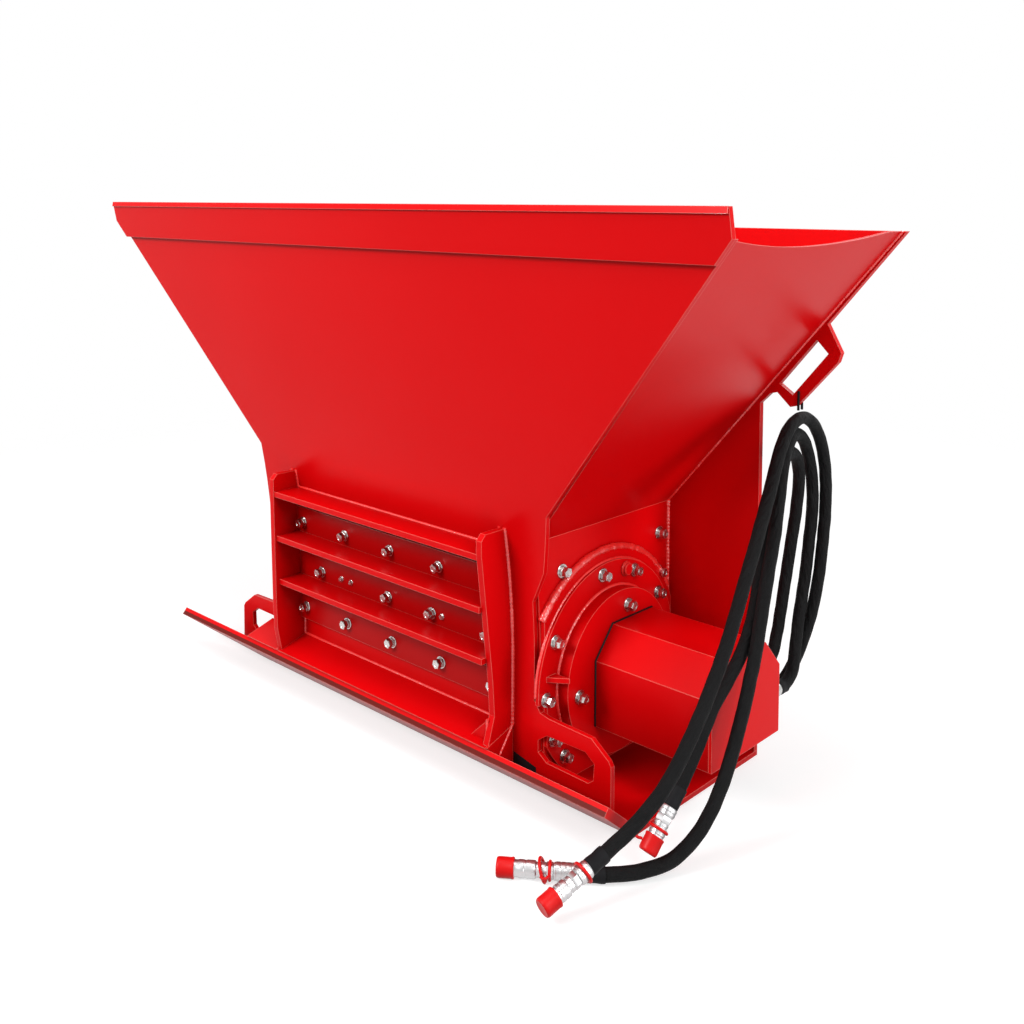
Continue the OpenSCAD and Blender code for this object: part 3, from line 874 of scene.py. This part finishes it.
@dataclass
class DriveBolts:
    """Bolts of the gearbox flange and housing, the dome nut and the side bolts."""

    ring_r: float = 0.195
    housing_r: float = 0.130
    flange_x: float = 0.018
    housing_x: float = 0.046
    flange_angles: tuple[float, ...] = (-134, -118, -92, -60, -8, 23, 55, 85, 115, 134)
    housing_angles: tuple[float, ...] = (9, -96)
    side_bolts: tuple[tuple[float, float], ...] = ((0.526, 0.427), (0.526, 0.343), (0.210, 0.419))
    plug_angle: float = 14.0
    guard_trim: tuple[float, float] = (0.052, 0.060)
    bolt: Bolt = field(default_factory=lambda: Bolt(washer_r=0.0140, head_t=0.0130))

    def build(self) -> None:
        """Adds all the drive's bolts."""
        rng = random.Random(11)
        shape = Shape()
        out = Vector((1, 0, 0))
        for x, r, angles in (
            (self.flange_x, self.ring_r, self.flange_angles),
            (self.housing_x, self.housing_r, self.housing_angles),
        ):
            for angle in angles:
                self.bolt.put(shape, round_axis(BOX_X + x, r, angle), out, rng.uniform(0, 60))
        for depth, z in self.side_bolts:
            self.bolt.put(shape, place(BOX_X, depth, z), out, rng.uniform(0, 60))
        piece = shape.made("drive_bolts", Finish.ZINC, 30.0)
        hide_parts("bolts_drive")
        self.guard_gap()
        plug = Shape()
        spot = round_axis(BOX_X + self.flange_x, self.ring_r, self.plug_angle)
        dome = ((0.015, 0), (0.015, 0.003), (0.0125, 0.0045), (0.0125, 0.0085), (0.011, 0.0100))
        plug.turned(dome, standing(spot, out), 28)
        plug.made("flange_plug", Finish.PAINT, 40.0)

    def guard_gap(self) -> None:
        """The dark joint where the guard meets the housing."""
        low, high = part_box("motor_guard")
        side, drop = self.guard_trim
        corners = (
            (low.y, low.z), (low.y, high.z - drop), (low.y + side, high.z),
            (high.y - side, high.z), (high.y, high.z - drop), (high.y, low.z),
        )
        x = BOX_X + self.housing_x + 0.0012
        shape = Shape()
        shape.swept([Vector((x, y, z)) for y, z in corners], lambda s, a: 0.0024, 6)
        shape.made("guard_joint", Finish.DARK, 40.0)


@dataclass
class Coupler:
    """A crimped hose end with a flat-faced quick coupler and a dust cap."""

    crimp: float = 0.024
    body: float = 0.032
    cap_r: float = 0.017
    cap_len: float = 0.030
    nut: float = 0.012

    def length(self) -> float:
        """From the hose's end to the cap."""
        return self.crimp + self.nut + self.body

    def steel(self, at: Matrix) -> Shape:
        """The turned steel parts."""
        shape = Shape()
        crimp = [(0.0136, 0.0), (0.0146, 0.0015)]
        rings = max(2, round(self.crimp / 0.010))
        span = self.crimp - 0.005
        for k in range(rings):
            low, high = (0.003 + span * (k + part) / rings for part in (0.0, 0.72))
            crimp += [(0.0149, low), (0.0149, high), (0.0143, high + 0.0006)]
        crimp += [(0.0140, self.crimp - 0.001), (0.0120, self.crimp)]
        shape.turned(crimp, at, 40)
        low = self.crimp + self.nut
        shape.hexagon(0.0240, self.crimp, low, at)
        marks = (
            (0.0120, 0.0), (0.0128, 0.04), (0.0128, 0.20), (0.0119, 0.23), (0.0119, 0.30),
            (0.0141, 0.34), (0.0145, 0.37), (0.0145, 0.60), (0.0138, 0.62), (0.0138, 0.68),
            (0.0145, 0.70), (0.0145, 0.84), (0.0136, 0.88), (0.0136, 1.0),
        )
        shape.turned([(r, low + self.body * part) for r, part in marks], at, 40)
        return shape

    def cap(self, at: Matrix) -> Shape:
        """The dust cap: a lip at its mouth and a rounded end."""
        start = self.length()
        r, end = self.cap_r, self.length() + self.cap_len
        shape = Shape()
        profile = (
            (r * 0.94, start), (r, start + 0.0008), (r, start + 0.0035), (r * 0.965, start + 0.0050),
            (r * 0.975, end - 0.006), (r * 0.96, end - 0.003), (r * 0.90, end - 0.0008),
            (r * 0.82, end), (r * 0.45, end - 0.0008),
        )
        shape.turned(profile, at, 48)
        return shape


@dataclass(frozen=True)
class Lanyard:
    """Red moulded rings round a coupler, and a strap that loops out to the cap."""

    rings: tuple[tuple[float, float, float], ...]
    loop: tuple[tuple[float, float], ...] = ()
    thick: float = 0.0028
    side: Point = (-0.727, -0.687, 0.0)

    def above_floor(self, spot: Vector) -> Vector:
        """A point of the strap's centreline, lifted where it would sink into the floor."""
        return Vector((spot.x, spot.y, max(spot.z, self.thick)))

    def build(self, name: str, at: Matrix) -> bpy.types.Object:
        """Adds the rings and the strap.

        Args:
            name: The piece's name.
            at: The coupler's place and direction.

        Returns:
            The piece.
        """
        shape = Shape()
        for along, r, tilt in self.rings:
            ring = []
            for k in range(33):
                a = math.tau * k / 32
                rise = r * math.sin(a) * math.sin(tilt)
                spot = at @ Vector((r * math.cos(a), r * math.sin(a) * math.cos(tilt), along + rise))
                ring.append(self.above_floor(spot))
            shape.swept(ring, lambda s, a: self.thick, 10)
        if self.loop:
            axis = (at.to_3x3() @ Vector((0, 0, 1))).normalized()
            side = Vector(self.side)
            side = (side - axis * side.dot(axis)).normalized()
            start = at.translation
            spots = [self.above_floor(start + side * out + axis * along) for out, along in self.loop]
            shape.swept(rounded(spots, 6), lambda s, a: self.thick * 0.9, 10)
        return shape.made(name, Finish.CAP, 60.0)


@dataclass
class Hose:
    """One sleeved hose from its port to its capped coupler."""

    name: str
    route: tuple[Point, ...]
    coupler: Coupler
    lanyard: Lanyard
    collar: float = 0.036
    radius: float = 0.0125

    def at_end(self, route: Sequence[Vector]) -> Matrix:
        """Where the coupler goes, in line with the route's last stretch."""
        return standing(route[-1], (route[-1] - route[-2]).normalized())

    def sleeve_radius(self) -> Callable[[float, float], float]:
        """The sleeve's radius along and round the hose, with its slack folds."""
        phase = len(self.name)

        def radius(s: float, a: float) -> float:
            """The radius at a distance along the hose and an angle round it."""
            drift = 2.0 * math.sin(s * 23 + phase)
            fold = math.sin(2 * a + s * 88 + drift) * math.sin(s * 47 + a + 3 * phase)
            crease = math.sin(3 * a - s * 150 + drift)
            return self.radius - 0.0003 + 0.00035 * fold + 0.00012 * crease

        return radius

    def build(self) -> None:
        """Adds the sleeve, its folded collars, the coupler, its cap and the lanyard."""
        route = rounded([place(*spot) for spot in self.route], 10)
        sleeve = Shape()
        total = sleeve.swept(route, self.sleeve_radius(), 28)
        tube = sleeve.made(self.name + "_sleeve", Finish.SLEEVE, 60.0)
        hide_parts(self.name + "_hose")
        at = self.at_end(route)
        steel = self.coupler.steel(at).made(self.name + "_coupler_steel", Finish.CHROME, 30.0)
        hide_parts(self.name + "_coupler")
        cap = self.coupler.cap(at).made(self.name + "_dust_cap", Finish.CAP, 35.0)
        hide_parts(self.name + "_cap")
        collars = Shape()
        for low, high in ((0.0, 0.026), (total - self.collar, total)):
            fold = self.stretch(route, low, high)
            collars.swept(fold, lambda s, a: self.radius + 0.0014 + 0.0004 * math.sin(s * 260), 24)
        collar = collars.made(self.name + "_collars", Finish.RUBBER, 40.0)
        straps = self.lanyard.build(self.name + "_lanyard", at)

    def stretch(self, route: Sequence[Vector], low: float, high: float) -> list[Vector]:
        """The part of a route between two distances along it.

        Args:
            route: The whole route.
            low: Where the part starts.
            high: Where it ends.

        Returns:
            The part's points.
        """
        spots, walked = [], 0.0
        for a, b in zip(route, route[1:]):
            step = (b - a).length
            for cut in (low, high):
                if walked <= cut <= walked + step:
                    spots.append(a.lerp(b, (cut - walked) / step))
            if low < walked + step < high:
                spots.append(b.copy())
            walked += step
        if (spots[-1] - spots[-2]).length < 1e-5:
            spots.pop()
        return spots


PRESSURE_ROUTE: tuple[Point, ...] = (
    (0.655, 0.530, 0.140), (0.655, 0.568, 0.140), (0.661, 0.602, 0.154), (0.673, 0.631, 0.195),
    (0.687, 0.650, 0.255), (0.698, 0.660, 0.315), (0.706, 0.665, 0.380), (0.711, 0.667, 0.445),
    (0.715, 0.667, 0.510), (0.717, 0.662, 0.570), (0.717, 0.649, 0.630), (0.717, 0.620, 0.680),
    (0.718, 0.580, 0.708), (0.721, 0.535, 0.712), (0.727, 0.490, 0.698), (0.734, 0.448, 0.665),
    (0.742, 0.408, 0.615), (0.750, 0.365, 0.560), (0.756, 0.322, 0.502), (0.760, 0.280, 0.442),
    (0.763, 0.240, 0.382), (0.764, 0.198, 0.325), (0.764, 0.155, 0.273), (0.760, 0.112, 0.220),
    (0.748, 0.075, 0.168), (0.730, 0.040, 0.127), (0.713, 0.010, 0.098), (0.700, -0.020, 0.078),
    (0.692, -0.054, 0.064),
)
RETURN_ROUTE: tuple[Point, ...] = (
    (0.690, 0.530, 0.172), (0.690, 0.562, 0.172), (0.688, 0.594, 0.188), (0.684, 0.612, 0.228),
    (0.681, 0.629, 0.285), (0.683, 0.642, 0.345), (0.686, 0.649, 0.400), (0.690, 0.650, 0.450),
    (0.696, 0.648, 0.510), (0.698, 0.641, 0.570), (0.700, 0.621, 0.625), (0.705, 0.588, 0.664),
    (0.713, 0.546, 0.682), (0.723, 0.502, 0.674), (0.734, 0.462, 0.640), (0.745, 0.430, 0.585),
    (0.753, 0.403, 0.525), (0.755, 0.380, 0.460), (0.758, 0.355, 0.392), (0.761, 0.330, 0.325),
    (0.763, 0.300, 0.258), (0.764, 0.268, 0.195), (0.764, 0.232, 0.135), (0.760, 0.195, 0.085),
    (0.750, 0.155, 0.045), (0.733, 0.110, 0.020), (0.708, 0.058, 0.015), (0.682, 0.020, 0.016),
    (0.662, 0.002, 0.016), (0.646, -0.010, 0.016),
)
DRAIN_ROUTE: tuple[Point, ...] = (
    (0.652, 0.530, 0.205), (0.652, 0.557, 0.205), (0.650, 0.584, 0.222), (0.649, 0.601, 0.258),
    (0.652, 0.610, 0.310), (0.660, 0.615, 0.385), (0.668, 0.618, 0.450), (0.678, 0.616, 0.515),
    (0.688, 0.606, 0.575), (0.698, 0.580, 0.620), (0.707, 0.543, 0.644), (0.713, 0.502, 0.643),
    (0.718, 0.466, 0.612), (0.723, 0.438, 0.560), (0.726, 0.414, 0.500), (0.729, 0.392, 0.435),
    (0.734, 0.362, 0.370), (0.735, 0.325, 0.318), (0.735, 0.280, 0.280), (0.734, 0.238, 0.248),
    (0.730, 0.210, 0.206), (0.725, 0.187, 0.167), (0.720, 0.163, 0.131), (0.716, 0.135, 0.099),
)


@dataclass
class HoseSet:
    """The three hoses, their port fittings and the tie that holds them to the handle."""

    port_back: float = 0.484
    hoses: tuple[Hose, ...] = field(
        default_factory=lambda: (
            Hose(
                "pressure", PRESSURE_ROUTE, Coupler(0.024, 0.032),
                Lanyard(((0.011, 0.0172, 0.12),)),
            ),
            Hose(
                "return", RETURN_ROUTE, Coupler(0.050, 0.054),
                Lanyard(
                    ((0.056, 0.0140, 0.0), (0.068, 0.0190, 0.30)),
                    ((0.014, 0.056), (0.022, 0.060), (0.024, 0.066), (0.019, 0.070)),
                ),
            ),
            Hose(
                "drain", DRAIN_ROUTE, Coupler(0.016, 0.024),
                Lanyard(
                    ((0.040, 0.0150, 0.0),),
                    (
                        (0.015, 0.040), (0.026, 0.038), (0.035, 0.046), (0.036, 0.060),
                        (0.027, 0.069), (0.017, 0.067),
                    ),
                ),
            ),
        )
    )

    def fittings(self) -> None:
        """The hexagon and the crimp at each port."""
        shape = Shape()
        for hose in self.hoses:
            x, y, z = hose.route[0]
            at = standing(place(x, self.port_back, z), Vector((0, 1, 0)))
            span = y - self.port_back
            shape.hexagon(0.027, 0.0, 0.020, at)
            shape.turned(
                ((0.0125, 0.020), (0.0145, 0.022), (0.0145, span - 0.004), (0.0135, span)), at, 32
            )
        piece = shape.made("port_fittings", Finish.ZINC, 30.0)
        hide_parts("motor_ports")

    def tie(self) -> None:
        """Dresses the tie as one strap round the bar."""
        low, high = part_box("hose_tie")
        mid = (low.x + high.x) / 2
        front, back = low.y + 0.001, high.y - 0.001
        loop = [
            Vector((mid, front, low.z)), Vector((mid, front, high.z - 0.015)),
            Vector((mid, (front + back) / 2, high.z - 0.0125)), Vector((mid, back, high.z - 0.015)),
            Vector((mid, back, low.z)),
        ]
        shape = Shape()
        shape.swept(loop, lambda s, a: 0.0026, 8)
        piece = shape.made("tie_strap", Finish.RUBBER, 60.0)
        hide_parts("hose_tie")

    def build(self) -> None:
        """Adds the hoses, fittings and tie."""
        for hose in self.hoses:
            hose.build()
        self.fittings()
        self.tie()


@dataclass
class Studio:
    """The camera of the photograph, a white floor and backdrop, and the lamps."""

    lens: float = 39.45
    shift_y: float = -0.237
    azimuth: float = 43.38
    pitch: float = -3.42
    roll: float = 0.27
    camera_at: Point = (1.794, -1.405, 1.129)
    world_level: float = 0.36
    floor_size: float = 60.0

    def camera(self) -> None:
        """Places the camera that fits the photograph."""
        az, el, ro = (math.radians(a) for a in (self.azimuth, self.pitch, self.roll))
        forward = Vector(
            (-math.sin(az) * math.cos(el), math.cos(az) * math.cos(el), math.sin(el))
        )
        right = Vector((math.cos(az), math.sin(az), 0))
        up = right.cross(forward)
        turned_right = right * math.cos(ro) + up * math.sin(ro)
        turned_up = up * math.cos(ro) - right * math.sin(ro)
        data = bpy.data.cameras.new("camera")
        data.lens = self.lens
        data.sensor_width = 36.0
        data.shift_y = self.shift_y
        data.clip_end = 200.0
        camera = bpy.data.objects.new("camera", data)
        rows = Matrix((turned_right, turned_up, -forward)).transposed()
        camera.matrix_world = Matrix.Translation(place(*self.camera_at)) @ rows.to_4x4()
        bpy.context.scene.collection.objects.link(camera)
        bpy.context.scene.camera = camera

    def floor(self) -> None:
        """A white floor that keeps the machine's shadow."""
        half = self.floor_size / 2
        mesh = bpy.data.meshes.new("floor")
        corners = [(-half, -half, 0), (half, -half, 0), (half, half, 0), (-half, half, 0)]
        mesh.from_pydata(corners, [], [(0, 1, 2, 3)])
        piece = bpy.data.objects.new("floor", mesh)
        bpy.context.scene.collection.objects.link(piece)
        tree = Tree("floor")
        camera_ray = tree.node("ShaderNodeLightPath", {}, {}, "Is Camera Ray")
        glossy_ray = tree.node("ShaderNodeLightPath", {}, {}, "Is Glossy Ray")
        seen = camera_ray + glossy_ray
        glow = tree.mix(seen, (0.0, 0.0, 0.0, 1.0), (0.62, 0.62, 0.62, 1.0))
        tone = tree.mix(seen, (0.22, 0.22, 0.22, 1.0), (0.5, 0.5, 0.5, 1.0))
        spot = tree.node("ShaderNodeTexCoord", {}, {}, "Object")
        away = tree.node("ShaderNodeVectorMath", {"operation": "LENGTH"}, {0: spot}, "Value")
        near = tree.node(
            "ShaderNodeMapRange",
            {"clamp": True},
            {"Value": away, "From Min": 1.6, "From Max": 3.6, "To Min": 1.0, "To Max": 0.0},
        )
        piece.data.materials.append(
            tree.shade(
                Base_Color=tone,
                Roughness=0.9,
                Specular_IOR_Level=0.0,
                Emission_Color=glow,
                Emission_Strength=1.0,
                Alpha=near,
            )
        )

    def world(self) -> None:
        """A white surround, which lights the machine less than it shows."""
        world = bpy.data.worlds.new("surround")
        bpy.context.scene.world = world
        world.use_nodes = True
        nodes, links = world.node_tree.nodes, world.node_tree.links
        nodes.clear()
        path = nodes.new("ShaderNodeLightPath")
        seen = path.outputs["Is Camera Ray"]
        for kind in ("Is Glossy Ray", "Is Transmission Ray"):
            total = nodes.new("ShaderNodeMath")
            total.operation = "ADD"
            total.use_clamp = True
            links.new(seen, total.inputs[0])
            links.new(path.outputs[kind], total.inputs[1])
            seen = total.outputs[0]
        mix = nodes.new("ShaderNodeMixShader")
        links.new(seen, mix.inputs[0])
        for spot, level in ((1, self.world_level), (2, 1.0)):
            light = nodes.new("ShaderNodeBackground")
            light.inputs["Color"].default_value = (1, 1, 1, 1)
            light.inputs["Strength"].default_value = level
            links.new(light.outputs[0], mix.inputs[spot])
        links.new(mix.outputs[0], nodes.new("ShaderNodeOutputWorld").inputs[0])

    def lamp(self, name: str, at: Point, aim: Point, watts: float, size: float) -> None:
        """Adds one square lamp.

        Args:
            name: The lamp's name.
            at: Where it hangs.
            aim: What it points at.
            watts: Its power.
            size: Its side.
        """
        data = bpy.data.lights.new(name, "AREA")
        data.energy = watts
        data.size = size
        lamp = bpy.data.objects.new(name, data)
        lamp.location = at
        lamp.rotation_mode = "QUATERNION"
        lamp.rotation_quaternion = (Vector(aim) - Vector(at)).to_track_quat("-Z", "Y")
        bpy.context.scene.collection.objects.link(lamp)

    def build(self) -> None:
        """Sets up the whole studio."""
        self.camera()
        self.world()
        self.floor()
        middle = (0.0, 0.0, 0.5)
        self.lamp("key", (-1.0, -4.2, 3.2), middle, 180.0, 1.6)
        self.lamp("fill", (4.3, -1.4, 3.4), middle, 95.0, 1.8)
        self.lamp("side", (3.9, 0.3, 0.7), (0.8, 0.0, 0.8), 42.0, 1.2)
        self.lamp("back", (0.5, 4.6, 3.0), middle, 60.0, 2.5)
        self.lamp("top", (0.6, -0.6, 4.4), middle, 55.0, 1.6)
        scene = bpy.context.scene
        scene.view_settings.view_transform = "Standard"


def main() -> None:
    """Builds the sub-assemblies in order."""
    Studio().build()
    HoseSet().build()
    body = Body()
    body.dress()
    body.fold_hem()
    RibFeet().build()
    Welds().build()
    FrontBolts().build()
    DriveBolts().build()


if __name__ == "__main__":
    main()
